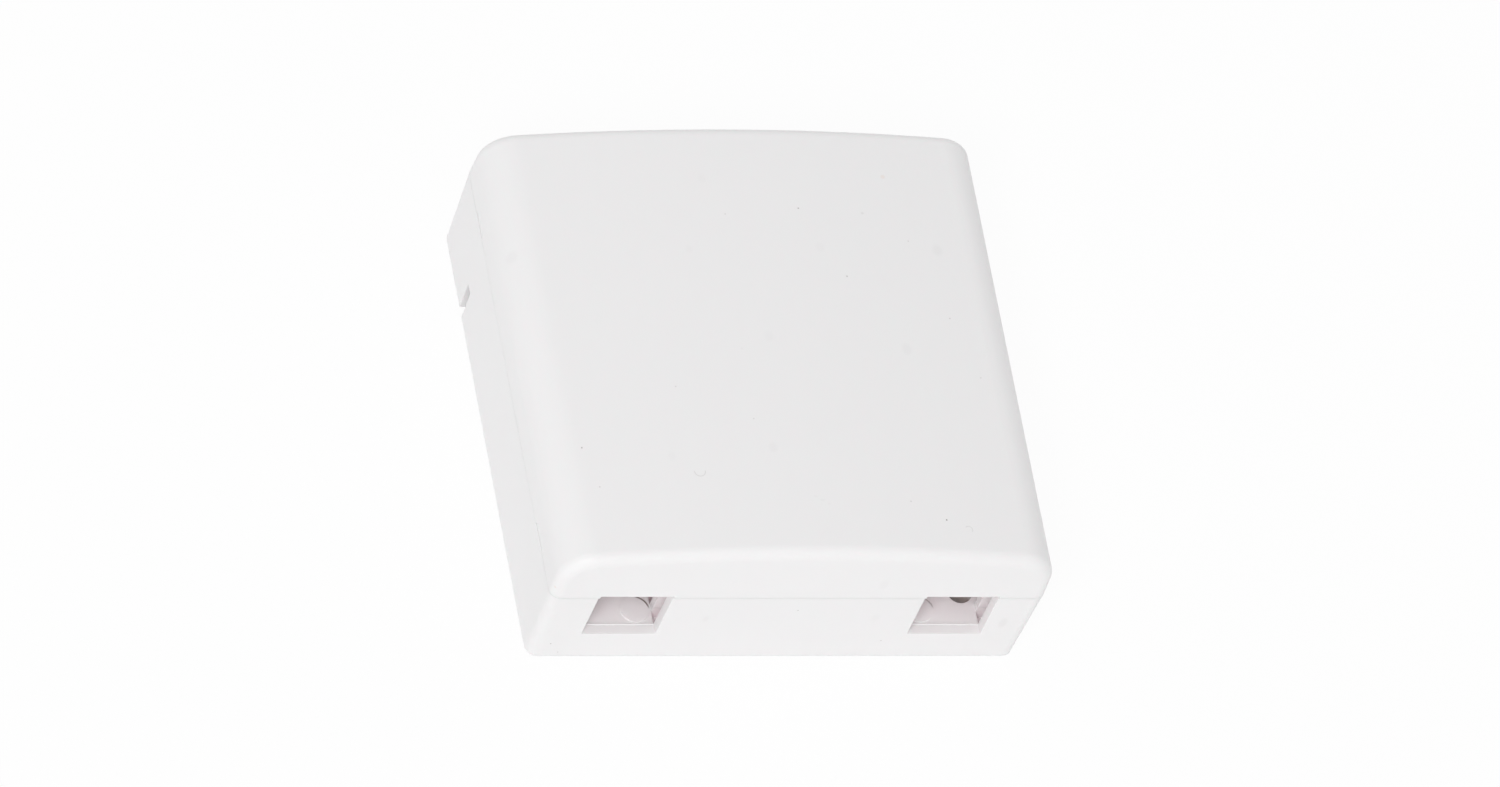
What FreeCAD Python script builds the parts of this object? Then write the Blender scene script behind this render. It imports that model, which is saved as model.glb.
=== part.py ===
import FreeCAD, Part
import math
import os
import Sketcher

# Two-port surface outlet box, empty, lying on its back.
# X runs across the box, Y up the wall it is screwed to, Z out of that wall.
# The origin is the middle of the rear face. Lengths in mm, angles in degrees.

doc = FreeCAD.newDocument("outlet_box")

# Driving dimensions
SIZES = {
    "plan_width": 80.0,
    "plan_height": 80.0,
    "seam_height": 17.1,
    "apex_height": 29.1,
    "crown_radius": 295.0,
    "side_round_share": 0.647,
    "end_round": 1.8,
    "seam_groove_height": 0.06,
    "seam_groove_depth": 0.06,
    "wall": 1.8,
    "base_floor": 2.0,
    "base_draft": 2.0,
    "cover_draft": 1.0,
    "port_width": 11.9,
    "port_height": 10.95,
    "port_inset": 13.7,
    "port_top_shift": 0.25,
    "sill_height": 6.65,
    "platform_depth": 16.0,
    "platform_wall": 1.6,
    "screw_hole": 4.0,
    "boss_diameter": 7.6,
    "screw_inset_x": 9.8,
    "screw_inset_y": 8.0,
    "pin_mark_diameter": 4.6,
    "pin_mark_height": 0.2,
    "pin_mark_shift": 3.3,
    "pin_mark_inset": 4.75,
    "entry_width": 30.0,
    "entry_height": 20.0,
    "entry_lift": 12.0,
    "entry_round": 3.0,
    "notch_width": 1.9,
    "notch_height": 6.4,
    "notch_inset": 15.8,
    "lip_depth": 2.0,
    "lip_thickness": 1.0,
    "lip_root": 1.5,
    "lip_clearance": 0.1,
    "catch_inset": 11.2,
    "tongue_width": 5.0,
    "tongue_length": 6.0,
    "tongue_thickness": 1.4,
    "guide_width": 1.0,
    "guide_depth": 1.8,
    "guide_clearance": 0.1,
    "slit_length": 5.0,
    "slit_height": 0.4,
    "slit_depth": 0.6,
    "rib_width": 2.5,
    "rib_thickness": 1.4,
    "rib_setback": 2.6,
    "rib_foot_gap": 1.1,
    "rib_joint_gap": 0.08,
    "shoulder_drop": 1.6,
}
sizes = doc.addObject("Spreadsheet::Sheet", "sizes")
for row, (alias, value) in enumerate(SIZES.items(), start=1):
    sizes.set(f"A{row}", alias)
    sizes.set(f"B{row}", str(value))
    sizes.setAlias(f"B{row}", alias)
doc.recompute()

# Sizes worked out from the driving dimensions, as expressions
HALF_WIDTH = "sizes.plan_width / 2"
HALF_HEIGHT = "sizes.plan_height / 2"
INNER_WIDTH = "(sizes.plan_width - 2 * sizes.wall)"
INNER_HEIGHT = "(sizes.plan_height - 2 * sizes.wall)"
BASE_TAPER = "tan(sizes.base_draft)"
WALL_TOP = "(sizes.seam_height - sizes.seam_groove_height)"
REAR_LOSS = f"2 * {WALL_TOP} * {BASE_TAPER}"
FLOOR_LOSS = f"2 * (sizes.seam_height - sizes.base_floor) * {BASE_TAPER}"
CROWN_CENTRE = "(sizes.apex_height - sizes.crown_radius)"
PORT_TOP = "(sizes.sill_height + sizes.port_height)"
LOWER_INNER_EDGE = f"-{INNER_HEIGHT} / 2"
PORT_OFFSET = f"({HALF_WIDTH} - sizes.port_inset)"
CATCH_PLACE = f"({HALF_HEIGHT} - sizes.catch_inset)"
# The cover's side, from the seam up to the crown, and the part of it that the round takes
SIDE_RISE = (f"({CROWN_CENTRE} + sqrt(pow(sizes.crown_radius; 2) - pow({HALF_WIDTH}; 2))"
             " - sizes.seam_height)")
SIDE_ROUND = f"sizes.side_round_share * {SIDE_RISE}"

# How far a cutting sketch starts outside the material
OVERCUT = 1.0
# Two measures closer than this are the same
NEAR = 1e-3

SIDES = (-1, 1)


# Helpers for sketches and features
def origin_plane(body, role):
    return next(item for item in body.Origin.OriginFeatures if item.Role == role)


def new_body(name):
    body = doc.addObject("PartDesign::Body", name)
    body.Label = name
    return body


def new_sketch(body, name, role, height="0"):
    """Sketch on one of the body's origin planes, raised along that plane's normal."""
    sketch = body.newObject("Sketcher::SketchObject", name)
    sketch.AttachmentSupport = [(origin_plane(body, role), "")]
    sketch.MapMode = "FlatFace"
    sketch.setExpression("AttachmentOffset.Base.z", height)
    return sketch


def number(text):
    """The present value of an expression."""
    return float(sizes.evalExpression(str(text)))


def bind(sketch, constraint, text):
    """Adds a constraint whose last value follows the expression."""
    index = sketch.addConstraint(Sketcher.Constraint(*constraint, number(text)))
    sketch.setExpression(f"Constraints[{index}]", str(text))


def rectangle(sketch, left, bottom, width, height):
    """Closed rectangle from its lower left corner and its two sides."""
    x0 = number(left)
    y0 = number(bottom)
    x1 = x0 + number(width)
    y1 = y0 + number(height)
    corners = [(x0, y0), (x1, y0), (x1, y1), (x0, y1)]
    first = sketch.GeometryCount
    for start, end in zip(corners, corners[1:] + corners[:1]):
        sketch.addGeometry(Part.LineSegment(FreeCAD.Vector(*start, 0), FreeCAD.Vector(*end, 0)))
    for side in range(4):
        following = first + (side + 1) % 4
        sketch.addConstraint(Sketcher.Constraint("Coincident", first + side, 2, following, 1))
        direction = "Horizontal" if side % 2 == 0 else "Vertical"
        sketch.addConstraint(Sketcher.Constraint(direction, first + side))
    bind(sketch, ("DistanceX", -1, 1, first, 1), left)
    bind(sketch, ("DistanceY", -1, 1, first, 1), bottom)
    bind(sketch, ("DistanceX", first, 1, first, 2), width)
    bind(sketch, ("DistanceY", first + 1, 1, first + 1, 2), height)


def centred_rectangle(sketch, width, height):
    rectangle(sketch, f"-({width}) / 2", f"-({height}) / 2", width, height)


def rounded_rectangle(sketch, centre_y, width, height, radius):
    """Rectangle with round corners, its middle on the upright axis at the given height."""
    half_x = number(width) / 2
    half_y = number(height) / 2
    middle = number(centre_y)
    bend = number(radius)
    flat_x = half_x - bend
    flat_y = half_y - bend
    first = sketch.GeometryCount
    # Each side starts where the corner before it ends, anticlockwise from the lower side
    sides = [((-flat_x, -half_y), (flat_x, -half_y)), ((half_x, -flat_y), (half_x, flat_y)),
             ((flat_x, half_y), (-flat_x, half_y)), ((-half_x, flat_y), (-half_x, -flat_y))]
    for start, end in sides:
        points = [FreeCAD.Vector(x, y + middle, 0) for x, y in (start, end)]
        sketch.addGeometry(Part.LineSegment(*points))
    corners = [(flat_x, -flat_y), (flat_x, flat_y), (-flat_x, flat_y), (-flat_x, -flat_y)]
    for quarter, (x, y) in enumerate(corners):
        full = Part.Circle(FreeCAD.Vector(x, y + middle, 0), FreeCAD.Vector(0, 0, 1), bend)
        angle = (quarter - 1) * math.pi / 2
        sketch.addGeometry(Part.ArcOfCircle(full, angle, angle + math.pi / 2))
    for side in range(4):
        corner = first + 4 + side
        sketch.addConstraint(Sketcher.Constraint("Tangent", first + side, 2, corner, 1))
        sketch.addConstraint(Sketcher.Constraint("Tangent", corner, 2, first + (side + 1) % 4, 1))
        direction = "Horizontal" if side % 2 == 0 else "Vertical"
        sketch.addConstraint(Sketcher.Constraint(direction, first + side))
        if side:
            sketch.addConstraint(Sketcher.Constraint("Equal", first + 4, corner))
    bind(sketch, ("Radius", first + 4), radius)
    bind(sketch, ("DistanceX", -1, 1, first, 1), f"{radius} - ({width}) / 2")
    bind(sketch, ("DistanceY", -1, 1, first, 1), f"{centre_y} - ({height}) / 2")
    bind(sketch, ("DistanceX", first + 3, 1, first + 1, 1), width)
    bind(sketch, ("DistanceY", first, 1, first + 2, 1), height)


def circle(sketch, centre_x, centre_y, diameter):
    centre = FreeCAD.Vector(number(centre_x), number(centre_y), 0)
    up = FreeCAD.Vector(0, 0, 1)
    index = sketch.addGeometry(Part.Circle(centre, up, number(diameter) / 2))
    bind(sketch, ("DistanceX", -1, 1, index, 3), centre_x)
    bind(sketch, ("DistanceY", -1, 1, index, 3), centre_y)
    bind(sketch, ("Diameter", index), diameter)


def solid_feature(body, kind, sketch, name, length, **settings):
    """Pad or Pocket of a sketch. Stops when it leaves the solid as it was."""
    before = body.Shape.Volume if body.Shape.Solids else 0.0
    feature = body.newObject(f"PartDesign::{kind}", name)
    feature.Profile = sketch
    for key, value in settings.items():
        if key == "taper":
            feature.setExpression("TaperAngle", value)
        else:
            setattr(feature, key, value)
    if length is not None:
        feature.setExpression("Length", length)
    doc.recompute()
    change = body.Shape.Volume - before
    expected = change > 0 if kind == "Pad" else change < 0
    if not expected:
        raise RuntimeError(f"{name} changed the volume by {change:.3f}")
    return feature


def round_edges(body, name, radius, wanted):
    """Fillet on every edge of the body's last feature that the test wants."""
    base = body.Tip
    names = [f"Edge{i}" for i, edge in enumerate(base.Shape.Edges, start=1) if wanted(edge)]
    if not names:
        raise RuntimeError(f"{name} found no edge")
    feature = body.newObject("PartDesign::Fillet", name)
    feature.Base = (base, names)
    feature.setExpression("Radius", radius)
    doc.recompute()
    if not feature.isValid():
        raise RuntimeError(f"{name} failed")
    return feature


def ends(edge):
    """The edge's two end points, or the same one twice on a closed edge."""
    points = [vertex.Point for vertex in edge.Vertexes]
    return points[0], points[-1]


def port_left(side):
    return f"{side} * {PORT_OFFSET} - sizes.port_width / 2"


# Base: a tray with drafted walls, open to the front
base = new_body("base")
outline = new_sketch(base, "base_outline", "XY_Plane")
centred_rectangle(outline, f"sizes.plan_width - {REAR_LOSS}", f"sizes.plan_height - {REAR_LOSS}")
solid_feature(base, "Pad", outline, "base_block", WALL_TOP, taper="sizes.base_draft")


def is_upright(edge):
    low, high = sorted(ends(edge), key=lambda point: point.z)
    return high.z - low.z > 0.9 * edge.Length


round_edges(base, "base_corners", "sizes.end_round", is_upright)

# The wall's topmost step is a little smaller and leaves a fine groove under the cover
step = new_sketch(base, "seam_step", "XY_Plane", WALL_TOP)
rounded_rectangle(step, "0", "sizes.plan_width - 2 * sizes.seam_groove_depth",
                  "sizes.plan_height - 2 * sizes.seam_groove_depth", "sizes.end_round")
solid_feature(base, "Pad", step, "seam_step_block", "sizes.seam_groove_height")

hollow = new_sketch(base, "base_hollow", "XY_Plane", "sizes.base_floor")
centred_rectangle(hollow, f"{INNER_WIDTH} - {FLOOR_LOSS}", f"{INNER_HEIGHT} - {FLOOR_LOSS}")
solid_feature(base, "Pocket", hollow, "base_tray",
              f"sizes.seam_height - sizes.base_floor + {OVERCUT}",
              taper="sizes.base_draft", Reversed=True)

# The lower part of each port is a slot in the lower wall, open at the seam
slots = new_sketch(base, "port_slots", "XZ_Plane", f"{HALF_HEIGHT} + {OVERCUT}")
for side in SIDES:
    rectangle(slots, port_left(side), "sizes.sill_height", "sizes.port_width",
              f"sizes.seam_height - sizes.sill_height + {OVERCUT}")
WALL_REACH = f"sizes.wall + sizes.seam_height * {BASE_TAPER}"
solid_feature(base, "Pocket", slots, "port_slots_cut", f"{OVERCUT} + {WALL_REACH}")

# Behind each port a platform, cored from the rear, lies level with the sill
platforms = new_sketch(base, "platforms", "XY_Plane")
for side in SIDES:
    rectangle(platforms, port_left(side), LOWER_INNER_EDGE, "sizes.port_width",
              "sizes.platform_depth")
solid_feature(base, "Pad", platforms, "platform_blocks", "sizes.sill_height")

cores = new_sketch(base, "platform_cores", "XY_Plane")
for side in SIDES:
    rectangle(cores, f"{port_left(side)} + sizes.platform_wall",
              f"{LOWER_INNER_EDGE} + sizes.platform_wall",
              "sizes.port_width - 2 * sizes.platform_wall",
              "sizes.platform_depth - 2 * sizes.platform_wall")
solid_feature(base, "Pocket", cores, "platform_coring",
              "sizes.sill_height - sizes.platform_wall", Reversed=True)

# Four screw bosses, two of them standing in the platforms
SCREW_CORNERS = [(x, y) for x in SIDES for y in SIDES]


def screw_circles(sketch, diameter):
    for x, y in SCREW_CORNERS:
        circle(sketch, f"{x} * ({HALF_WIDTH} - sizes.screw_inset_x)",
               f"{y} * ({HALF_HEIGHT} - sizes.screw_inset_y)", diameter)


bosses = new_sketch(base, "screw_bosses", "XY_Plane")
screw_circles(bosses, "sizes.boss_diameter")
solid_feature(base, "Pad", bosses, "screw_boss_posts", "sizes.sill_height")
holes = new_sketch(base, "screw_holes", "XY_Plane")
screw_circles(holes, "sizes.screw_hole")
solid_feature(base, "Pocket", holes, "screw_holes_cut", None, Reversed=True, Type="ThroughAll")

# Round marks that the ejector pins left standing a little proud of the platforms
marks = new_sketch(base, "pin_marks", "XY_Plane", "sizes.sill_height")
for side in SIDES:
    circle(marks, f"{side} * ({PORT_OFFSET} - sizes.pin_mark_shift)",
           f"-{HALF_HEIGHT} + sizes.pin_mark_inset", "sizes.pin_mark_diameter")
solid_feature(base, "Pad", marks, "pin_marks_raised", "sizes.pin_mark_height")


def rib_left(side, flank):
    """Left edge of the rib on one flank of a port."""
    port_edge = f"({side} * {PORT_OFFSET} + {flank} * sizes.port_width / 2)"
    return port_edge if flank > 0 else f"({port_edge} - sizes.rib_width)"


# Ribs that stand beside each platform, under the ribs of the cover
RIB_FOOT = "(sizes.sill_height + sizes.rib_foot_gap)"
RIB_FRONT = f"({LOWER_INNER_EDGE} + sizes.rib_setback)"
standing = new_sketch(base, "standing_ribs", "XY_Plane")
for side in SIDES:
    for flank in SIDES:
        rectangle(standing, rib_left(side, flank), RIB_FRONT, "sizes.rib_width",
                  "sizes.rib_thickness")
solid_feature(base, "Pad", standing, "standing_rib_posts", f"{RIB_FOOT} - sizes.rib_joint_gap")

# A low shoulder ties each standing rib to the lower wall
shoulders = new_sketch(base, "rib_shoulders", "XY_Plane")
for side in SIDES:
    for flank in SIDES:
        rectangle(shoulders, rib_left(side, flank), LOWER_INNER_EDGE, "sizes.rib_width",
                  "sizes.rib_setback + sizes.rib_thickness")
solid_feature(base, "Pad", shoulders, "rib_shoulder_blocks",
              "sizes.sill_height - sizes.shoulder_drop")

# Cable entry through the rear floor
entry = new_sketch(base, "cable_entry", "XY_Plane")
rounded_rectangle(entry, "sizes.entry_lift", "sizes.entry_width", "sizes.entry_height",
                  "sizes.entry_round")
solid_feature(base, "Pocket", entry, "cable_entry_cut", f"sizes.base_floor + {OVERCUT}",
              Reversed=True)

# Notch in the left wall's rear edge
notch = new_sketch(base, "wall_notch", "YZ_Plane", f"-{HALF_WIDTH} - {OVERCUT}")
rectangle(notch, f"{HALF_HEIGHT} - sizes.notch_inset - sizes.notch_width / 2", f"-{OVERCUT}",
          "sizes.notch_width", f"sizes.notch_height + {OVERCUT}")
solid_feature(base, "Pocket", notch, "wall_notch_cut", f"{OVERCUT} + {WALL_REACH}", Reversed=True)

# Guides on the side walls, a pair to each tongue of the cover
guides = new_sketch(base, "tongue_guides", "XY_Plane")
GUIDE_GAP = "(sizes.tongue_width / 2 + sizes.guide_clearance)"
for side in SIDES:
    left = f"{INNER_WIDTH} / 2 - sizes.guide_depth" if side > 0 else f"-{INNER_WIDTH} / 2"
    for end in SIDES:
        for flank in SIDES:
            bottom = f"{end} * {CATCH_PLACE} + {flank} * {GUIDE_GAP}"
            if flank < 0:
                bottom += " - sizes.guide_width"
            rectangle(guides, left, bottom, "sizes.guide_depth", "sizes.guide_width")
solid_feature(base, "Pad", guides, "tongue_guide_ribs",
              "sizes.seam_height - sizes.lip_depth - sizes.lip_clearance")

# Cover: a shallow lid with a crowned front
cover = new_body("cover")
rim = new_sketch(cover, "cover_outline", "XY_Plane", "sizes.seam_height")
centred_rectangle(rim, "sizes.plan_width", "sizes.plan_height")
solid_feature(cover, "Pad", rim, "cover_block",
              f"sizes.apex_height - sizes.seam_height + {OVERCUT}", taper="-sizes.cover_draft")


def crown_profile(sketch, half_span, radius, far_side):
    """Region between the crown arc and a straight line on the far side of it."""
    reach = number(half_span)
    big = number(radius)
    centre = number(CROWN_CENTRE)
    level = number(far_side)
    top = centre + (big * big - reach * reach) ** 0.5
    left = FreeCAD.Vector(-reach, top, 0)
    middle = FreeCAD.Vector(0, centre + big, 0)
    right = FreeCAD.Vector(reach, top, 0)
    far_right = FreeCAD.Vector(reach, level, 0)
    far_left = FreeCAD.Vector(-reach, level, 0)
    arc = sketch.addGeometry(Part.Arc(left, middle, right))
    right_line = sketch.addGeometry(Part.LineSegment(right, far_right))
    far_line = sketch.addGeometry(Part.LineSegment(far_right, far_left))
    left_line = sketch.addGeometry(Part.LineSegment(far_left, left))
    right_end = 1 if sketch.getPoint(arc, 1).x > 0 else 2
    left_end = 3 - right_end
    joints = [(arc, right_end, right_line, 1), (right_line, 2, far_line, 1),
              (far_line, 2, left_line, 1), (left_line, 2, arc, left_end)]
    for joint in joints:
        sketch.addConstraint(Sketcher.Constraint("Coincident", *joint))
    sketch.addConstraint(Sketcher.Constraint("Vertical", right_line))
    sketch.addConstraint(Sketcher.Constraint("Vertical", left_line))
    sketch.addConstraint(Sketcher.Constraint("Horizontal", far_line))
    sketch.addConstraint(Sketcher.Constraint("PointOnObject", arc, 3, -2))
    bind(sketch, ("DistanceY", -1, 1, arc, 3), CROWN_CENTRE)
    bind(sketch, ("Radius", arc), radius)
    bind(sketch, ("DistanceX", -1, 1, right_line, 2), half_span)
    bind(sketch, ("DistanceX", far_line, 2, -1, 1), half_span)
    bind(sketch, ("DistanceY", -1, 1, far_line, 1), far_side)


above = new_sketch(cover, "above_crown", "XZ_Plane")
crown_profile(above, f"{HALF_WIDTH} + {OVERCUT}", "sizes.crown_radius",
              f"sizes.apex_height + 2 * {OVERCUT}")
solid_feature(cover, "Pocket", above, "crown_cut", f"sizes.plan_height + 2 * {OVERCUT}",
              SideType="Symmetric")


def runs_up_the_box(edge):
    """True for an edge along Y that lies above the seam."""
    start, end = ends(edge)
    above_seam = start.z > number("sizes.seam_height") + NEAR
    return above_seam and abs(end.y - start.y) > 0.9 * edge.Length


round_edges(cover, "cover_side_rounds", SIDE_ROUND, runs_up_the_box)


def is_end_wall_edge(edge):
    """Every edge of the two end walls but those of the rim."""
    seam = number("sizes.seam_height")
    start, end = ends(edge)
    if max(start.z, end.z) < seam + NEAR:
        return False
    lean = number("(sizes.apex_height - sizes.seam_height) * tan(sizes.cover_draft)")
    limit = number(HALF_HEIGHT) - 2 * lean - NEAR
    return min(abs(start.y), abs(end.y)) > limit and start.y * end.y > 0


round_edges(cover, "cover_end_rounds", "sizes.end_round", is_end_wall_edge)


def inside_profile(sketch, half_span, radius, bend, foot):
    """Region under the crown arc, which small arcs join to its two upright sides."""
    reach = number(half_span)
    big = number(radius)
    small = number(bend)
    centre = number(CROWN_CENTRE)
    level = number(foot)
    middle_x = reach - small
    middle_z = centre + ((big - small) ** 2 - middle_x ** 2) ** 0.5
    lean = math.atan2(middle_z - centre, middle_x)
    flat = math.pi / 2 - lean
    up = FreeCAD.Vector(0, 0, 1)
    low_right = FreeCAD.Vector(reach, level, 0)
    low_left = FreeCAD.Vector(-reach, level, 0)
    foot_line = sketch.addGeometry(Part.LineSegment(low_left, low_right))
    right_line = sketch.addGeometry(Part.LineSegment(low_right, FreeCAD.Vector(reach, middle_z, 0)))
    right_circle = Part.Circle(FreeCAD.Vector(middle_x, middle_z, 0), up, small)
    right_bend = sketch.addGeometry(Part.ArcOfCircle(right_circle, 0, lean))
    crown_circle = Part.Circle(FreeCAD.Vector(0, centre, 0), up, big)
    crown = sketch.addGeometry(Part.ArcOfCircle(crown_circle, lean, lean + 2 * flat))
    left_circle = Part.Circle(FreeCAD.Vector(-middle_x, middle_z, 0), up, small)
    left_bend = sketch.addGeometry(Part.ArcOfCircle(left_circle, math.pi - lean, math.pi))
    left_line = sketch.addGeometry(Part.LineSegment(FreeCAD.Vector(-reach, middle_z, 0), low_left))
    loop = [foot_line, right_line, right_bend, crown, left_bend, left_line]
    for here, following in zip(loop, loop[1:] + loop[:1]):
        square = foot_line in (here, following)
        kind = "Coincident" if square else "Tangent"
        sketch.addConstraint(Sketcher.Constraint(kind, here, 2, following, 1))
    sketch.addConstraint(Sketcher.Constraint("Horizontal", foot_line))
    sketch.addConstraint(Sketcher.Constraint("Vertical", right_line))
    sketch.addConstraint(Sketcher.Constraint("Vertical", left_line))
    sketch.addConstraint(Sketcher.Constraint("PointOnObject", crown, 3, -2))
    sketch.addConstraint(Sketcher.Constraint("Equal", right_bend, left_bend))
    bind(sketch, ("DistanceY", -1, 1, crown, 3), CROWN_CENTRE)
    bind(sketch, ("Radius", crown), radius)
    bind(sketch, ("Radius", right_bend), bend)
    bind(sketch, ("DistanceX", -1, 1, foot_line, 2), half_span)
    bind(sketch, ("DistanceX", foot_line, 1, -1, 1), half_span)
    bind(sketch, ("DistanceY", -1, 1, foot_line, 1), foot)


# Inside of the cover
inside = new_sketch(cover, "cover_inside", "XZ_Plane")
inside_profile(inside, f"{INNER_WIDTH} / 2", "sizes.crown_radius - sizes.wall",
               f"{SIDE_ROUND} - sizes.wall", f"sizes.seam_height - {OVERCUT}")
solid_feature(cover, "Pocket", inside, "cover_hollow", INNER_HEIGHT, SideType="Symmetric")

# Locating lip: its root joins the cover's wall, its lower part drops inside the tray
LIP_INSET = f"2 * (sizes.lip_clearance + sizes.lip_depth * {BASE_TAPER})"
LIP_WIDTH = f"({INNER_WIDTH} - {LIP_INSET})"
LIP_HEIGHT = f"({INNER_HEIGHT} - {LIP_INSET})"
LIP_BORE = (f"{LIP_WIDTH} - 2 * sizes.lip_thickness", f"{LIP_HEIGHT} - 2 * sizes.lip_thickness")
root = new_sketch(cover, "lip_root", "XY_Plane", "sizes.seam_height")
centred_rectangle(root, f"{INNER_WIDTH} + sizes.wall", f"{INNER_HEIGHT} + sizes.wall")
centred_rectangle(root, *LIP_BORE)
solid_feature(cover, "Pad", root, "lip_root_ring", "sizes.lip_root")
lip = new_sketch(cover, "locating_lip", "XY_Plane", "sizes.seam_height - sizes.lip_depth")
centred_rectangle(lip, LIP_WIDTH, LIP_HEIGHT)
centred_rectangle(lip, *LIP_BORE)
solid_feature(cover, "Pad", lip, "locating_lip_ring", "sizes.lip_depth + sizes.lip_root / 2")

# Four tongues behind the slits, clear of the tray's leaning walls down to their tips
tongues = new_sketch(cover, "tongues", "XY_Plane", "sizes.seam_height - sizes.tongue_length")
TONGUE_FACE = (f"({INNER_WIDTH} / 2 - sizes.lip_clearance"
               f" - sizes.tongue_length * {BASE_TAPER})")
for side in SIDES:
    left = f"{TONGUE_FACE} - sizes.tongue_thickness" if side > 0 else f"-{TONGUE_FACE}"
    for end in SIDES:
        rectangle(tongues, left, f"{end} * {CATCH_PLACE} - sizes.tongue_width / 2",
                  "sizes.tongue_thickness", "sizes.tongue_width")
solid_feature(cover, "Pad", tongues, "tongue_blades", "sizes.tongue_length + sizes.lip_root / 2")

# The upper edge of each port, moulded a little off the slot below it
tops = new_sketch(cover, "port_tops", "XZ_Plane", f"{HALF_HEIGHT} + {OVERCUT}")
LIP_FOOT = "(sizes.seam_height - sizes.lip_depth - sizes.lip_clearance)"
for side in SIDES:
    rectangle(tops, f"{port_left(side)} + sizes.port_top_shift", LIP_FOOT, "sizes.port_width",
              f"{PORT_TOP} - {LIP_FOOT}")
solid_feature(cover, "Pocket", tops, "port_tops_cut",
              f"2 * {OVERCUT} + {WALL_REACH} + sizes.lip_thickness")

# Slits in the rim for a screwdriver
slits = new_sketch(cover, "opening_slits", "XY_Plane", "sizes.seam_height")
for side in SIDES:
    left = f"{HALF_WIDTH} - sizes.slit_depth" if side > 0 else f"-{HALF_WIDTH} - {OVERCUT}"
    for end in SIDES:
        rectangle(slits, left, f"{end} * {CATCH_PLACE} - sizes.slit_length / 2",
                  f"sizes.slit_depth + {OVERCUT}", "sizes.slit_length")
solid_feature(cover, "Pocket", slits, "opening_slits_cut", "sizes.slit_height", Reversed=True)

# Ribs that hang from the front beside each port
ribs = new_sketch(cover, "port_ribs", "XZ_Plane", f"-{RIB_FRONT}")
for side in SIDES:
    for flank in SIDES:
        left = rib_left(side, flank)
        middle = f"({left} + sizes.rib_width / 2)"
        mid_wall = (f"({CROWN_CENTRE} + sqrt(pow(sizes.crown_radius - sizes.wall / 2; 2)"
                    f" - pow({middle}; 2)))")
        rectangle(ribs, left, RIB_FOOT, "sizes.rib_width", f"{mid_wall} - {RIB_FOOT}")
solid_feature(cover, "Pad", ribs, "port_rib_blades", "sizes.rib_thickness", Reversed=True)

# Check and write every piece
doc.recompute()
for item in doc.Objects:
    if "Invalid" in item.State or "Error" in item.State:
        raise RuntimeError(f"{item.Name} failed: {item.State}")
os.makedirs("parts", exist_ok=True)
for piece in (base, cover):
    shape = piece.Shape
    if shape.isNull() or not shape.isValid() or len(shape.Solids) != 1:
        raise RuntimeError(f"{piece.Label} is not one valid solid")
    shape.exportStep(f"parts/{piece.Label}.step")
    box = shape.optimalBoundingBox(False)
    print(piece.Label, f"{shape.Volume:.1f} mm3",
          f"{box.XLength:.2f} x {box.YLength:.2f} x {box.ZLength:.2f} mm",
          f"z {box.ZMin:.2f} to {box.ZMax:.2f}")
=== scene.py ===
# %% [markdown]
# # A two-port surface box for ethernet sockets
#
# The real object is an empty white plastic box that is screwed to a wall. It is two mouldings:
# a tray with drafted walls, and a crowned cover pushed down on it. Two rectangular ports in the
# lower end wait for their jacks.
#
# The shapes come from the CAD model. This lesson adds what CAD leaves out: the camera, soft
# studio light, the satin finish of the plastic, and the small traces of making and handling.

# %% Load the CAD model
import math
import bpy
from mathutils import Matrix, Vector, noise


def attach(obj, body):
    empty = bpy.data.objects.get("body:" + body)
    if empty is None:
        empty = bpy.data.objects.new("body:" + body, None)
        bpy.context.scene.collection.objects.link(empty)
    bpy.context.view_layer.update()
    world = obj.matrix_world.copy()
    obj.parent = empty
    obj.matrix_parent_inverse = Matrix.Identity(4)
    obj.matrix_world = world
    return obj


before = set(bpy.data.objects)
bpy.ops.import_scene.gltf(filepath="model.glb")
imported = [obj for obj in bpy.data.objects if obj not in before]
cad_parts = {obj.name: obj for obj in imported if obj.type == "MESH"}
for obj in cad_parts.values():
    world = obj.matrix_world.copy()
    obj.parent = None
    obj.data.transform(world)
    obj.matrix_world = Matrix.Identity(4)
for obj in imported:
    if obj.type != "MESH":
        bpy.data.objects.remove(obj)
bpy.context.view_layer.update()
MM = 0.001
MICRON = 0.000001
scene = bpy.context.scene
scene.view_settings.view_transform = "Standard"

# %% [markdown]
# ## Camera
#
# The box lies on its back and is seen from above its port end, from far away through a long
# lens, so its edges stay almost parallel. The camera could be turned by three angles, but those
# are hard to read. Here it looks along a heading and a downward angle at a point inside the box,
# and is then rolled until the port end lies level in the picture.

# %% Place the camera
HEADING = math.radians(29.870)
DOWN = math.radians(52.590)
ROLL = math.radians(24.693)
DISTANCE = 3622.96 * MM
AIM = Vector((-0.38, -0.45, 14.5)) * MM
SENSOR_WIDTH = 36
FOCAL_LENGTH = 562.16
FARTHEST_SEEN = 50

sight = Vector((math.sin(HEADING) * math.cos(DOWN), math.cos(HEADING) * math.cos(DOWN),
                -math.sin(DOWN)))
level_view = sight.to_track_quat("-Z", "Y").to_matrix().to_4x4()
lens = bpy.data.cameras.new("long_lens")
lens.sensor_width = SENSOR_WIDTH
lens.lens = FOCAL_LENGTH
lens.clip_end = FARTHEST_SEEN
camera = bpy.data.objects.new("photo_camera", lens)
camera.matrix_world = (Matrix.Translation(AIM - sight * DISTANCE) @ level_view
                       @ Matrix.Rotation(ROLL, 4, "Z"))
scene.collection.objects.link(camera)
scene.camera = camera
print("camera at", [round(v, 3) for v in camera.matrix_world.translation])

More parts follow.
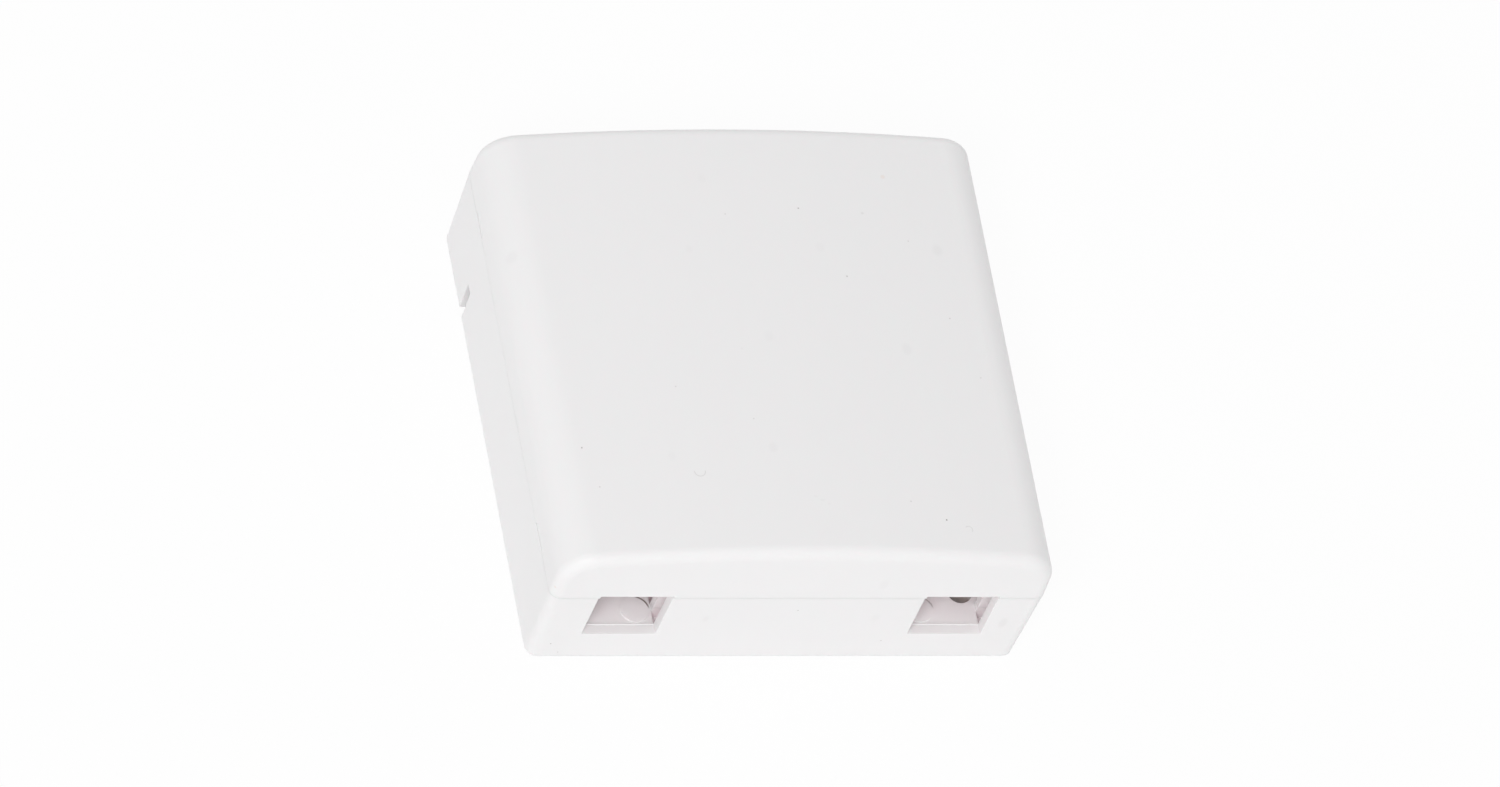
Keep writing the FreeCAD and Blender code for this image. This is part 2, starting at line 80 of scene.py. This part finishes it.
# %% [markdown]
# ## Floor and background
#
# The photograph's ground is plain white paper. A wide plane does for it. Lit paper comes out a
# little grey, so most of what the camera sees of it glows at strength 1, which is white, and the
# rest is real paper that still takes the box's soft shadow. It lies a hair below the box, so the
# two faces don't flicker through each other, and from below it is clear, so that the rear of the
# box can be looked at too.


# %% Helpers for node trees
def add_node(tree, kind, label="", **settings):
    """A shader node with its settings. Socket values go in as {socket name or number: value}."""
    node = tree.nodes.new(kind)
    node.label = label
    sockets = settings.pop("values", {})
    for key, value in settings.items():
        setattr(node, key, value)
    for key, value in sockets.items():
        node.inputs[key].default_value = value
    return node


def math_node(tree, operation, first, second=None, label="", clamp=False):
    """A math node's result. Each operand is a socket to link or a plain number."""
    node = add_node(tree, "ShaderNodeMath", label, operation=operation, use_clamp=clamp)
    for index, operand in enumerate((first, second)):
        if isinstance(operand, (int, float)):
            node.inputs[index].default_value = operand
        elif operand is not None:
            tree.links.new(operand, node.inputs[index])
    return node.outputs[0]


def mix_shaders(tree, share, first, second, label):
    """A blend of two shaders: all of the first at share 0, all of the second at share 1."""
    node = add_node(tree, "ShaderNodeMixShader", label)
    for index, socket in enumerate((share, first.outputs[0], second.outputs[0])):
        tree.links.new(socket, node.inputs[index])
    return node


def seen_directly(tree):
    """1 for what the camera, glass or a gloss sees, 0 for light that only fills the scene."""
    ray = add_node(tree, "ShaderNodeLightPath", "who looks").outputs
    direct = math_node(tree, "MAXIMUM", ray["Is Camera Ray"], ray["Is Transmission Ray"],
                       "camera or glass")
    return math_node(tree, "MAXIMUM", direct, ray["Is Glossy Ray"], "or gloss")


def new_material(name):
    """A material with an empty tree and its output node."""
    material = bpy.data.materials.new(name)
    material.use_nodes = True
    material.node_tree.nodes.clear()
    return material, material.node_tree, add_node(material.node_tree, "ShaderNodeOutputMaterial")


# %% Lay the paper
PAPER_SIDE = 12.0
PAPER_LEVEL = -0.2 * MM
PAPER_WHITE = (0.96, 0.96, 0.96, 1)
PAPER_GLOW_SHARE = 0.93
PLAIN_WHITE = 1.0

half = PAPER_SIDE / 2
corners = [(x * half, y * half, PAPER_LEVEL) for x, y in ((-1, -1), (1, -1), (1, 1), (-1, 1))]
paper_mesh = bpy.data.meshes.new("paper")
paper_mesh.from_pydata(corners, [], [(0, 1, 2, 3)])
paper = bpy.data.objects.new("paper", paper_mesh)
scene.collection.objects.link(paper)

paper_finish, tree, output = new_material("white paper")
matte = add_node(tree, "ShaderNodeBsdfDiffuse", "paper", values={"Color": PAPER_WHITE})
glow = add_node(tree, "ShaderNodeEmission", "plain white", values={"Strength": PLAIN_WHITE})
share = math_node(tree, "MULTIPLY", seen_directly(tree), PAPER_GLOW_SHARE, "share that glows")
above = mix_shaders(tree, share, matte, glow, "paper and glow")
clear = add_node(tree, "ShaderNodeBsdfTransparent", "clear from below")
below = add_node(tree, "ShaderNodeNewGeometry", "which side").outputs["Backfacing"]
both_sides = mix_shaders(tree, below, above, clear, "above and below")
tree.links.new(both_sides.outputs[0], output.inputs["Surface"])
paper.data.materials.append(paper_finish)
print("paper", PAPER_SIDE, "m wide")

# %% [markdown]
# ## Light
#
# The photograph has hardly any shading: the port end is the brightest side, the left side comes
# next, and the front grows slightly darker to the right. That is a white room with one soft
# lamp, halfway up, in front and to the left. The room is the world, an even white. The lamp is
# an area light, nearly half a metre wide and less than two metres away, so its shadow is soft.

# %% Fill the room with light
ROOM_LEVEL = 0.835

world = bpy.data.worlds.new("white room")
world.use_nodes = True
scene.world = world
tree = world.node_tree
tree.nodes.clear()
room = add_node(tree, "ShaderNodeBackground", "room light", values={"Strength": ROOM_LEVEL})
wall = add_node(tree, "ShaderNodeBackground", "white to the eye",
                values={"Strength": PLAIN_WHITE})
surroundings = mix_shaders(tree, seen_directly(tree), room, wall, "light and look")
output = add_node(tree, "ShaderNodeOutputWorld")
tree.links.new(surroundings.outputs[0], output.inputs["Surface"])
print("room level", ROOM_LEVEL)


# %% Hang the panel lamp
def area_lamp(name, location, facing, width, depth, watts, colour=(1, 1, 1)):
    """A rectangular lamp, in metres, that shines the way it faces."""
    light = bpy.data.lights.new(name, "AREA")
    light.shape = "RECTANGLE"
    light.size, light.size_y = width, depth
    light.color = colour
    light.energy = watts
    lamp = bpy.data.objects.new(name, light)
    lamp.location = location
    lamp.rotation_euler = facing.to_track_quat("-Z", "Y").to_euler()
    scene.collection.objects.link(lamp)
    print(name, round(watts * 1000, 2), "milliwatts")
    return lamp


PANEL_DIRECTION = Vector((-0.41, -0.56, 0.71)).normalized()
PANEL_DISTANCE = 1.8
PANEL_SIDE = 0.45
# The level is that of a white card which faces the lamp at the box.
PANEL_LEVEL = 0.315

area_lamp("panel_front_left", PANEL_DIRECTION * PANEL_DISTANCE, -PANEL_DIRECTION, PANEL_SIDE,
          PANEL_SIDE, PANEL_LEVEL * math.pi ** 2 * PANEL_DISTANCE ** 2)

# %% [markdown]
# The walls are thin and the plastic is a little see-through, so the closed box glows faintly
# inside, and warmer than the room, because red light gets through best. The walls could be
# scattering volumes, but those are slow and noisy. Two weak, warm lamps give the same glow: one
# lies just under the cover, a little to the right because the light comes from the left, and one
# stands behind the lower wall. Smaller ones stand for the glow of the cover's rim over each port
# and of the solid shoulders beside it. The camera never sees them.

# %% Glow inside the box
PORT_MIDDLE = 26.3
PORT_HALF = 5.95
RIM_LAMP_SHIFT = 2.6
SHOULDER_LAMP_DEPTH = 2.4
SHOULDER_LAMP_SIDE = 2.2
GLOW_COLOUR = (1.0, 0.69, 0.74)
RIM_COLOUR = (1.0, 0.95, 0.96)


def wall_glow(name, middle, width, depth, facing, level, colour=GLOW_COLOUR):
    """A lamp the size of a wall's inner face, as bright as a white card at the given level."""
    watts = level * math.pi * width * depth * MM ** 2
    lamp = area_lamp(name, Vector(middle) * MM, Vector(facing), width * MM, depth * MM, watts,
                     colour)
    lamp.visible_camera = False
    lamp.visible_glossy = False


wall_glow("glow_under_cover", middle=(4, 0, 25), width=58, depth=66, facing=(0, 0, -1),
          level=0.18)
wall_glow("glow_behind_lower_wall", middle=(0, -37.3, 11.0), width=74, depth=11.6,
          facing=(0, 1, 0), level=0.10)
for side, place in ((-1, "left"), (1, "right")):
    wall_glow(f"glow_of_rim_{place}", middle=(side * PORT_MIDDLE - RIM_LAMP_SHIFT, -38.8, 16.5),
              width=5.5, depth=2.0, facing=(0.7, 0, -0.7), level=4.0, colour=RIM_COLOUR)
    for flank, edge in ((-1, "inner"), (1, "outer")):
        port_edge = side * (PORT_MIDDLE + flank * PORT_HALF)
        wall_glow(f"glow_of_shoulder_{place}_{edge}",
                  middle=(port_edge + side * flank * SHOULDER_LAMP_DEPTH, -36.3, 6.2),
                  width=SHOULDER_LAMP_SIDE, depth=SHOULDER_LAMP_SIDE,
                  facing=(-side * flank, 0, -0.3), level=0.35)

# %% [markdown]
# ## Satin white plastic
#
# Both mouldings are white ABS. Its skin copies the steel of the mould, which was eroded to a
# fine grain on the show sides, so it has a soft sheen and no clear reflections. The grain could
# be modelled, but it is a few thousandths of a millimetre deep: a noise in the surface's height
# does it. The grain, the flow of the plastic, the dust and the marks are node groups, because
# the tray and the cover both use them, each with its own values.


# %% A helper for node groups
def new_group(name, inputs, outputs):
    """A group's tree, its input and its output. An input socket may carry a default value."""
    group = bpy.data.node_groups.new(name, "ShaderNodeTree")
    for socket_name, socket_type, value in inputs:
        socket = group.interface.new_socket(socket_name, in_out="INPUT", socket_type=socket_type)
        if value is not None:
            socket.default_value = value
    for socket_name, socket_type in outputs:
        group.interface.new_socket(socket_name, in_out="OUTPUT", socket_type=socket_type)
    return group, add_node(group, "NodeGroupInput"), add_node(group, "NodeGroupOutput")


# %% Grain of the mould
def grain_group():
    """Height of the fine spark-eroded grain, in metres."""
    group, given, result = new_group(
        "mould grain",
        [("Place", "NodeSocketVector", None), ("Grain width", "NodeSocketFloat", 0.3 * MM),
         ("Depth", "NodeSocketFloat", 4 * MICRON)],
        [("Height", "NodeSocketFloat")])
    scale = math_node(group, "DIVIDE", 1.0, given.outputs["Grain width"], "grains per metre")
    grain = add_node(group, "ShaderNodeTexNoise", "grain",
                     values={"Detail": 2.0, "Roughness": 0.55})
    group.links.new(given.outputs["Place"], grain.inputs["Vector"])
    group.links.new(scale, grain.inputs["Scale"])
    height = math_node(group, "MULTIPLY", grain.outputs["Fac"], given.outputs["Depth"], "height")
    group.links.new(height, result.inputs["Height"])
    return group


MOULD_GRAIN = grain_group()
print("group:", MOULD_GRAIN.name)


# %% Flow of the plastic and uneven sheen
def flow_group():
    """Slow clouds over the whole moulding, 0 to 1, stretched a little along the box."""
    group, given, result = new_group(
        "plastic flow",
        [("Place", "NodeSocketVector", None), ("Cloud width", "NodeSocketFloat", 20 * MM)],
        [("Clouds", "NodeSocketFloat"), ("Fine clouds", "NodeSocketFloat")])
    scale = math_node(group, "DIVIDE", 1.0, given.outputs["Cloud width"], "clouds per metre")
    fine_scale = math_node(group, "MULTIPLY", scale, 7.0, "finer clouds")
    stretch = add_node(group, "ShaderNodeVectorMath", "stretch", operation="MULTIPLY",
                       values={1: (1.0, 0.6, 1.0)})
    slow = add_node(group, "ShaderNodeTexNoise", "slow", values={"Detail": 3.0})
    fine = add_node(group, "ShaderNodeTexNoise", "fine", values={"Detail": 4.0})
    group.links.new(given.outputs["Place"], stretch.inputs[0])
    group.links.new(stretch.outputs[0], slow.inputs["Vector"])
    group.links.new(scale, slow.inputs["Scale"])
    group.links.new(given.outputs["Place"], fine.inputs["Vector"])
    group.links.new(fine_scale, fine.inputs["Scale"])
    group.links.new(slow.outputs["Fac"], result.inputs["Clouds"])
    group.links.new(fine.outputs["Fac"], result.inputs["Fine clouds"])
    return group


PLASTIC_FLOW = flow_group()
print("group:", PLASTIC_FLOW.name)


# %% Dust specks
def dust_group():
    """Sparse small specks. Only the cells of a cell pattern whose lot is drawn hold one."""
    group, given, result = new_group(
        "dust specks",
        [("Place", "NodeSocketVector", None), ("Spacing", "NodeSocketFloat", 6 * MM),
         ("Speck width", "NodeSocketFloat", 0.25 * MM), ("Share", "NodeSocketFloat", 0.15)],
        [("Specks", "NodeSocketFloat")])
    scale = math_node(group, "DIVIDE", 1.0, given.outputs["Spacing"], "cells per metre")
    cells = add_node(group, "ShaderNodeTexVoronoi", "cells")
    group.links.new(given.outputs["Place"], cells.inputs["Vector"])
    group.links.new(scale, cells.inputs["Scale"])
    lots = add_node(group, "ShaderNodeSeparateColor", "lots")
    group.links.new(cells.outputs["Color"], lots.inputs[0])
    radius = math_node(group, "MULTIPLY", given.outputs["Speck width"], scale, "width in cells")
    size = math_node(group, "MULTIPLY", radius, lots.outputs[1], "each its own size")
    near = math_node(group, "LESS_THAN", cells.outputs["Distance"], size, "inside a speck")
    drawn = math_node(group, "LESS_THAN", lots.outputs[0], given.outputs["Share"], "drawn")
    both = math_node(group, "MULTIPLY", near, drawn)
    group.links.new(both, result.inputs["Specks"])
    return group


DUST = dust_group()
print("group:", DUST.name)


# %% A mark at a known place
def mark_group():
    """An oval soft-edged mark round a point of the surface."""
    group, given, result = new_group(
        "placed mark",
        [("Place", "NodeSocketVector", None), ("Centre", "NodeSocketVector", None),
         ("Half size", "NodeSocketVector", (1 * MM, 1 * MM, 3 * MM)),
         ("Strength", "NodeSocketFloat", 0.5)],
        [("Mark", "NodeSocketFloat")])
    away = add_node(group, "ShaderNodeVectorMath", "from centre", operation="SUBTRACT")
    shaped = add_node(group, "ShaderNodeVectorMath", "in half sizes", operation="DIVIDE")
    reach = add_node(group, "ShaderNodeVectorMath", "how far", operation="LENGTH")
    fade = add_node(group, "ShaderNodeMapRange", "soft edge", interpolation_type="SMOOTHSTEP",
                    values={"From Min": 0.35, "From Max": 1.0, "To Min": 1.0, "To Max": 0.0})
    group.links.new(given.outputs["Place"], away.inputs[0])
    group.links.new(given.outputs["Centre"], away.inputs[1])
    group.links.new(away.outputs[0], shaped.inputs[0])
    group.links.new(given.outputs["Half size"], shaped.inputs[1])
    group.links.new(shaped.outputs[0], reach.inputs[0])
    group.links.new(reach.outputs["Value"], fade.inputs["Value"])
    faded = math_node(group, "MULTIPLY", fade.outputs["Result"], given.outputs["Strength"])
    group.links.new(faded, result.inputs["Mark"])
    return group


PLACED_MARK = mark_group()
print("group:", PLACED_MARK.name)


# %% A thin arc, for the shade beside a raised disc or for a curled hair
def arc_group():
    """A thin arc of a circle round its middle direction. The cosine says how far it goes round."""
    group, given, result = new_group(
        "thin arc",
        [("Place", "NodeSocketVector", None), ("Centre", "NodeSocketVector", None),
         ("Toward", "NodeSocketVector", (0.7, 0.7, 0)),
         ("Radius", "NodeSocketFloat", 2.3 * MM), ("End cosine", "NodeSocketFloat", 0.72),
         ("Thickness", "NodeSocketFloat", 0.26 * MM), ("Strength", "NodeSocketFloat", 0.6)],
        [("Shade", "NodeSocketFloat")])
    away = add_node(group, "ShaderNodeVectorMath", "from centre", operation="SUBTRACT")
    flat = add_node(group, "ShaderNodeVectorMath", "in the plane", operation="MULTIPLY",
                    values={1: (1, 1, 0)})
    reach = add_node(group, "ShaderNodeVectorMath", "how far", operation="LENGTH")
    straight = add_node(group, "ShaderNodeVectorMath", "which way", operation="NORMALIZE")
    along = add_node(group, "ShaderNodeVectorMath", "how well it points", operation="DOT_PRODUCT")
    side = add_node(group, "ShaderNodeMapRange", "only that side",
                    interpolation_type="SMOOTHSTEP")
    full = math_node(group, "ADD", given.outputs["End cosine"], 0.25, "full from here")
    group.links.new(given.outputs["Place"], away.inputs[0])
    group.links.new(given.outputs["Centre"], away.inputs[1])
    group.links.new(away.outputs[0], flat.inputs[0])
    group.links.new(flat.outputs[0], reach.inputs[0])
    group.links.new(flat.outputs[0], straight.inputs[0])
    group.links.new(straight.outputs[0], along.inputs[0])
    group.links.new(given.outputs["Toward"], along.inputs[1])
    group.links.new(along.outputs["Value"], side.inputs["Value"])
    group.links.new(given.outputs["End cosine"], side.inputs["From Min"])
    group.links.new(full, side.inputs["From Max"])
    off = math_node(group, "SUBTRACT", reach.outputs["Value"], given.outputs["Radius"])
    gap = math_node(group, "ABSOLUTE", off, label="off the circle")
    wide = math_node(group, "DIVIDE", gap, given.outputs["Thickness"], clamp=True)
    ring = math_node(group, "SUBTRACT", 1.0, wide, "thin ring")
    shade = math_node(group, "MULTIPLY", ring, side.outputs["Result"])
    shade = math_node(group, "MULTIPLY", shade, given.outputs["Strength"], clamp=True)
    group.links.new(shade, result.inputs["Shade"])
    return group


THIN_ARC = arc_group()
print("group:", THIN_ARC.name)

# %% [markdown]
# ## The tray's and the cover's finish, with painted shade
#
# The marks that can be seen on the real box are few and faint: grey smudges where fingers held
# it, a few dark specks, an orange one and two curled hairs. Random dirt alone would put them
# anywhere, so the seen ones are placed one by one, in millimetres from the middle of the rear
# face. Four marks are painted shade, which the lamps inside would wash out: a dark arc beside
# each raised disc, a darkened corner of the left port and brown painted shade in the screw hole.

# %% Marks seen on each moulding, and painted shade
# Each mark: centre x, y, z, half sizes along x, y, z, strength
COVER_SMUDGES = [
    (29.7, 17.6, 27.8, 1.1, 1.5, 3, 0.15), (21.2, -1.3, 28.3, 1.1, 1.5, 3, 0.12),
    (-3.9, -20.0, 29.1, 1.0, 1.25, 3, 0.11), (-6.8, 29.9, 29.0, 0.9, 1.2, 3, 0.06),
    (-1.0, 0.5, 29.1, 1.0, 1.3, 3, 0.07), (-38.6, 17.7, 25.0, 1.1, 1.4, 3, 0.11),
    (-11.1, 16.8, 28.9, 0.8, 1.0, 3, 0.07), (10.2, 17.2, 28.9, 1.0, 1.25, 3, 0.07),
    (-20.2, -21.2, 28.4, 0.9, 1.1, 3, 0.08), (1.4, -29.0, 28.9, 0.5, 0.16, 3, 0.18),
    (2.4, -29.7, 28.8, 0.6, 0.16, 3, 0.20), (3.3, -30.4, 28.8, 0.4, 0.16, 3, 0.18),
    (12.7, -39.8, 20.9, 1.1, 3, 1.8, 0.10),
]
COVER_SPECKS = [
    (7.9, 24.4, 29.0, 0.20, 0.17, 3, 0.55), (-34.0, -18.9, 27.2, 0.17, 0.2, 3, 0.55),
    (22.1, -32.8, 28.3, 0.18, 0.2, 3, 0.75), (-4.2, 23.2, 29.1, 0.2, 0.14, 3, 0.25),
    (13.7, 11.9, 28.8, 0.2, 0.2, 3, 0.4), (25.1, 19.0, 28.0, 0.14, 0.14, 3, 0.35),
    (29.5, 4.9, 27.6, 0.16, 0.16, 3, 0.35), (-17.5, -8.5, 28.6, 0.15, 0.15, 3, 0.3),
    (-6.1, -14.7, 29.0, 0.16, 0.16, 3, 0.25), (-32.4, -26.2, 27.3, 0.16, 0.16, 3, 0.3),
    (16.8, -29.6, 28.6, 0.18, 0.16, 3, 0.3), (32.7, -5.9, 27.3, 0.2, 0.12, 3, 0.3),
]
COVER_ORANGE = [(23.0, 30.9, 28.2, 0.5, 0.5, 3, 0.14), (-39.9, -39.4, 19.2, 0.5, 0.5, 0.3, 0.5)]
TRAY_SMUDGES = [
    (35.0, -39.8, 9.9, 0.95, 3, 1.9, 0.20), (13.9, -39.8, 11.4, 1.0, 3, 1.5, 0.08),
    (-13.4, -39.8, 11.1, 0.7, 3, 1.1, 0.13),
]
TRAY_SPECKS = [
    (0.8, -39.8, 13.6, 0.16, 3, 0.14, 0.5), (16.7, -39.8, 4.6, 0.14, 3, 0.14, 0.5),
    (-36.4, -39.8, 3.7, 0.16, 3, 0.14, 0.6), (-34.6, -39.8, 1.2, 0.14, 3, 0.14, 0.5),
]
# Painted shade: a darkened corner of the left port under the cover's rim, and the dark inside of
# the screw hole
TRAY_PAINTED_SHADE = [
    (-32.2, -38.8, 16.6, 0.35, 1.4, 0.35, 0.9), (30.2, -32.0, 3.0, 4.0, 4.0, 3.6, 0.6),
]
# Each arc: centre x, y, radius, middle direction x, y, cosine at its ends, thickness, strength
# Painted shade: a dark arc on the far side of each raised disc, where its shadow falls
DISC_SHADES = [
    (-23.0, -35.25, 2.38, 0.7, 0.7, 0.72, 0.26, 1.9),
    (23.0, -35.25, 2.38, 0.7, 0.7, 0.72, 0.26, 0.8),
]
COVER_HAIRS = [
    (-16.3, -24.2, 0.85, 0, -1, -0.25, 0.11, 0.24),
    (25.5, -34.4, 0.6, 0.6, 0.8, -0.1, 0.11, 0.20),
]


def strongest(tree, group, place, settings):
    """A copy of the group for each dictionary of values, and the strongest of their masks."""
    mask = None
    for values in settings:
        copy = add_node(tree, "ShaderNodeGroup", node_tree=group, values=values)
        tree.links.new(place, copy.inputs["Place"])
        mask = copy.outputs[0] if mask is None else math_node(
            tree, "MAXIMUM", mask, copy.outputs[0])
    return mask


def add_marks(tree, place, marks):
    """The placed marks of one list, as one mask."""
    return strongest(tree, PLACED_MARK, place, [
        {"Centre": Vector((x, y, z)) * MM, "Half size": Vector((half_x, half_y, half_z)) * MM,
         "Strength": strength} for x, y, z, half_x, half_y, half_z, strength in marks])


def add_arcs(tree, place, arcs):
    """The thin arcs of one list, as one mask."""
    return strongest(tree, THIN_ARC, place, [
        {"Centre": Vector((x, y, 0)) * MM, "Toward": (toward_x, toward_y, 0),
         "Radius": radius * MM, "End cosine": end_cosine, "Thickness": thickness * MM,
         "Strength": strength}
        for x, y, radius, toward_x, toward_y, end_cosine, thickness, strength in arcs])


# A Mix node has its colour sockets after those for numbers and directions.
MIX_BASE, MIX_OVER, MIX_RESULT = 6, 7, 2


def tint(tree, base, colour, mask, label):
    """Mixes a colour over the base, which is a colour too or a socket, where the mask is high."""
    mix = add_node(tree, "ShaderNodeMix", label, data_type="RGBA")
    tree.links.new(mask, mix.inputs["Factor"])
    if isinstance(base, tuple):
        mix.inputs[MIX_BASE].default_value = base
    else:
        tree.links.new(base, mix.inputs[MIX_BASE])
    mix.inputs[MIX_OVER].default_value = colour
    return mix.outputs[MIX_RESULT]


print("marks on the cover:", len(COVER_SMUDGES + COVER_SPECKS + COVER_ORANGE + COVER_HAIRS),
      "on the tray:", len(TRAY_SMUDGES + TRAY_SPECKS + TRAY_PAINTED_SHADE + DISC_SHADES))

# %% The moulded plastic
WHITE = (0.92, 0.912, 0.916, 1)
FLOW_WHITE = (0.905, 0.895, 0.90, 1)
SMUDGE_GREY = (0.72, 0.70, 0.705, 1)
# Dark of the real specks and hairs, and of the painted shade beside the raised discs
SPECK_AND_SHADE_DARK = (0.22, 0.18, 0.17, 1)
SPECK_ORANGE = (0.72, 0.42, 0.25, 1)
# Brown of the painted shade in the left port's corner and down in the screw hole
PAINTED_SHADE_BROWN = (0.40, 0.22, 0.16, 1)
CLOUD_WIDTH = 18 * MM
FLOW_STRENGTH = 0.5
DUST_STRENGTH = 0.35
SHINIEST, DULLEST = 0.38, 0.52
PLASTIC_IOR = 1.5
LIGHT_PATH = 0.8 * MM
LIGHT_PATH_BY_COLOUR = (1.0, 0.85, 0.9)
LIGHT_LET_IN = 0.35


def moulded_plastic(name, dust_share, grain_depth, light_path, marks=(), arcs=()):
    """White satin ABS with grain, flow and dust. Light goes that far in. Marks: colour, places."""
    material, tree, output = new_material(name)
    place = add_node(tree, "ShaderNodeTexCoord").outputs["Object"]
    flow = add_node(tree, "ShaderNodeGroup", node_tree=PLASTIC_FLOW,
                    values={"Cloud width": CLOUD_WIDTH})
    dust = add_node(tree, "ShaderNodeGroup", node_tree=DUST, values={"Share": dust_share})
    grain = add_node(tree, "ShaderNodeGroup", node_tree=MOULD_GRAIN,
                     values={"Depth": grain_depth})
    for user in (flow, dust, grain):
        tree.links.new(place, user.inputs["Place"])

    clouds = math_node(tree, "MULTIPLY", flow.outputs["Clouds"], FLOW_STRENGTH, "faint flow")
    colour = tint(tree, WHITE, FLOW_WHITE, clouds, "flow")
    dusty = math_node(tree, "MULTIPLY", dust.outputs["Specks"], DUST_STRENGTH, "dust is thin")
    colour = tint(tree, colour, SMUDGE_GREY, dusty, "dust")
    # Some marks and all of the tray's arcs are painted shade; the rest are real smudges, specks
    # and hairs
    for mark_colour, places in marks:
        colour = tint(tree, colour, mark_colour, add_marks(tree, place, places), "marks")
    if arcs:
        colour = tint(tree, colour, SPECK_AND_SHADE_DARK, add_arcs(tree, place, arcs), "arcs")

    sheen = add_node(tree, "ShaderNodeMapRange", "uneven sheen",
                     values={"To Min": SHINIEST, "To Max": DULLEST})
    tree.links.new(flow.outputs["Fine clouds"], sheen.inputs["Value"])
    bump = add_node(tree, "ShaderNodeBump", "grain", values={"Strength": 1.0, "Distance": 1.0})
    tree.links.new(grain.outputs["Height"], bump.inputs["Height"])
    plastic = add_node(tree, "ShaderNodeBsdfPrincipled", "satin plastic",
                       values={"IOR": PLASTIC_IOR,
                               "Subsurface Weight": LIGHT_LET_IN if light_path else 0.0,
                               "Subsurface Radius": LIGHT_PATH_BY_COLOUR,
                               "Subsurface Scale": light_path})
    tree.links.new(colour, plastic.inputs["Base Color"])
    tree.links.new(sheen.outputs["Result"], plastic.inputs["Roughness"])
    tree.links.new(bump.outputs["Normal"], plastic.inputs["Normal"])
    tree.links.new(plastic.outputs["BSDF"], output.inputs["Surface"])
    return material


cover_plastic = moulded_plastic(
    "cover plastic", dust_share=0.10, grain_depth=4 * MICRON, light_path=LIGHT_PATH,
    marks=[(SMUDGE_GREY, COVER_SMUDGES), (SPECK_AND_SHADE_DARK, COVER_SPECKS),
           (SPECK_ORANGE, COVER_ORANGE)],
    arcs=COVER_HAIRS)
tray_plastic = moulded_plastic(
    "tray plastic", dust_share=0.18, grain_depth=3 * MICRON, light_path=LIGHT_PATH,
    marks=[(SMUDGE_GREY, TRAY_SMUDGES), (SPECK_AND_SHADE_DARK, TRAY_SPECKS),
           (PAINTED_SHADE_BROWN, TRAY_PAINTED_SHADE)],
    arcs=DISC_SHADES)
flash_plastic = moulded_plastic(
    "flash plastic", dust_share=0.0, grain_depth=2 * MICRON, light_path=0.0)
print("finishes:", cover_plastic.name, tray_plastic.name, flash_plastic.name)


# %% Put the finishes on the mouldings
def dress(node_name, material):
    """Gives a CAD node one material in every slot."""
    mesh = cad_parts[node_name].data
    if not mesh.materials:
        mesh.materials.append(material)
    for slot in range(len(mesh.materials)):
        mesh.materials[slot] = material
    print(node_name, "faces", len(mesh.polygons), "smooth",
          sum(face.use_smooth for face in mesh.polygons))


dress("cover", cover_plastic)
dress("base", tray_plastic)

# %% [markdown]
# ## Flash on the sills
#
# Where two steels of the mould met, a little plastic crept between them and left a thin, uneven
# ridge. One runs across the sill of each port, just inside the wall. It is a shape, not a
# colour, so it is modelled: a thin round line bent along a slightly wavy path.

# %% Run a ridge across each sill
SILL = 6.65
RIDGE_PLACE = -37.9
RIDGE_RADIUS = 0.2
RIDGE_LIFT = 0.02
RIDGE_END_GAP = 0.02
RIDGE_STEPS = 40
ROUNDNESS = 3
# How far it sways, how much it swells, and how many times a millimetre each of them turns
SWAY, SWAYS = 0.05, 0.8
SWELL, SWELLS = 0.5, 2.1
USUAL_SWELL = 0.75


def flash_ridge(name, side):
    """A thin wavy ridge that lies half sunk in the sill."""
    curve = bpy.data.curves.new(name, "CURVE")
    curve.dimensions = "3D"
    curve.bevel_depth = RIDGE_RADIUS * MM
    curve.bevel_resolution = ROUNDNESS
    spline = curve.splines.new("POLY")
    spline.points.add(RIDGE_STEPS)
    start = side * PORT_MIDDLE - PORT_HALF + RIDGE_END_GAP
    length = 2 * PORT_HALF - 2 * RIDGE_END_GAP
    for step in range(RIDGE_STEPS + 1):
        x = start + length * step / RIDGE_STEPS
        sway = noise.noise(Vector((x * SWAYS, side * 7.3, 0)))
        swell = noise.noise(Vector((x * SWELLS, side * 3.1, 5)))
        point = Vector((x, RIDGE_PLACE + SWAY * sway, SILL + RIDGE_LIFT)) * MM
        spline.points[step].co = (*point, 1)
        spline.points[step].radius = USUAL_SWELL + SWELL * swell
    ridge = bpy.data.objects.new(name, curve)
    scene.collection.objects.link(ridge)
    ridge.data.materials.append(flash_plastic)
    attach(ridge, "tray")


for side, name in ((-1, "flash_ridge_left"), (1, "flash_ridge_right")):
    flash_ridge(name, side)
print("ridges about", round(2 * RIDGE_RADIUS * USUAL_SWELL, 2), "mm thick")
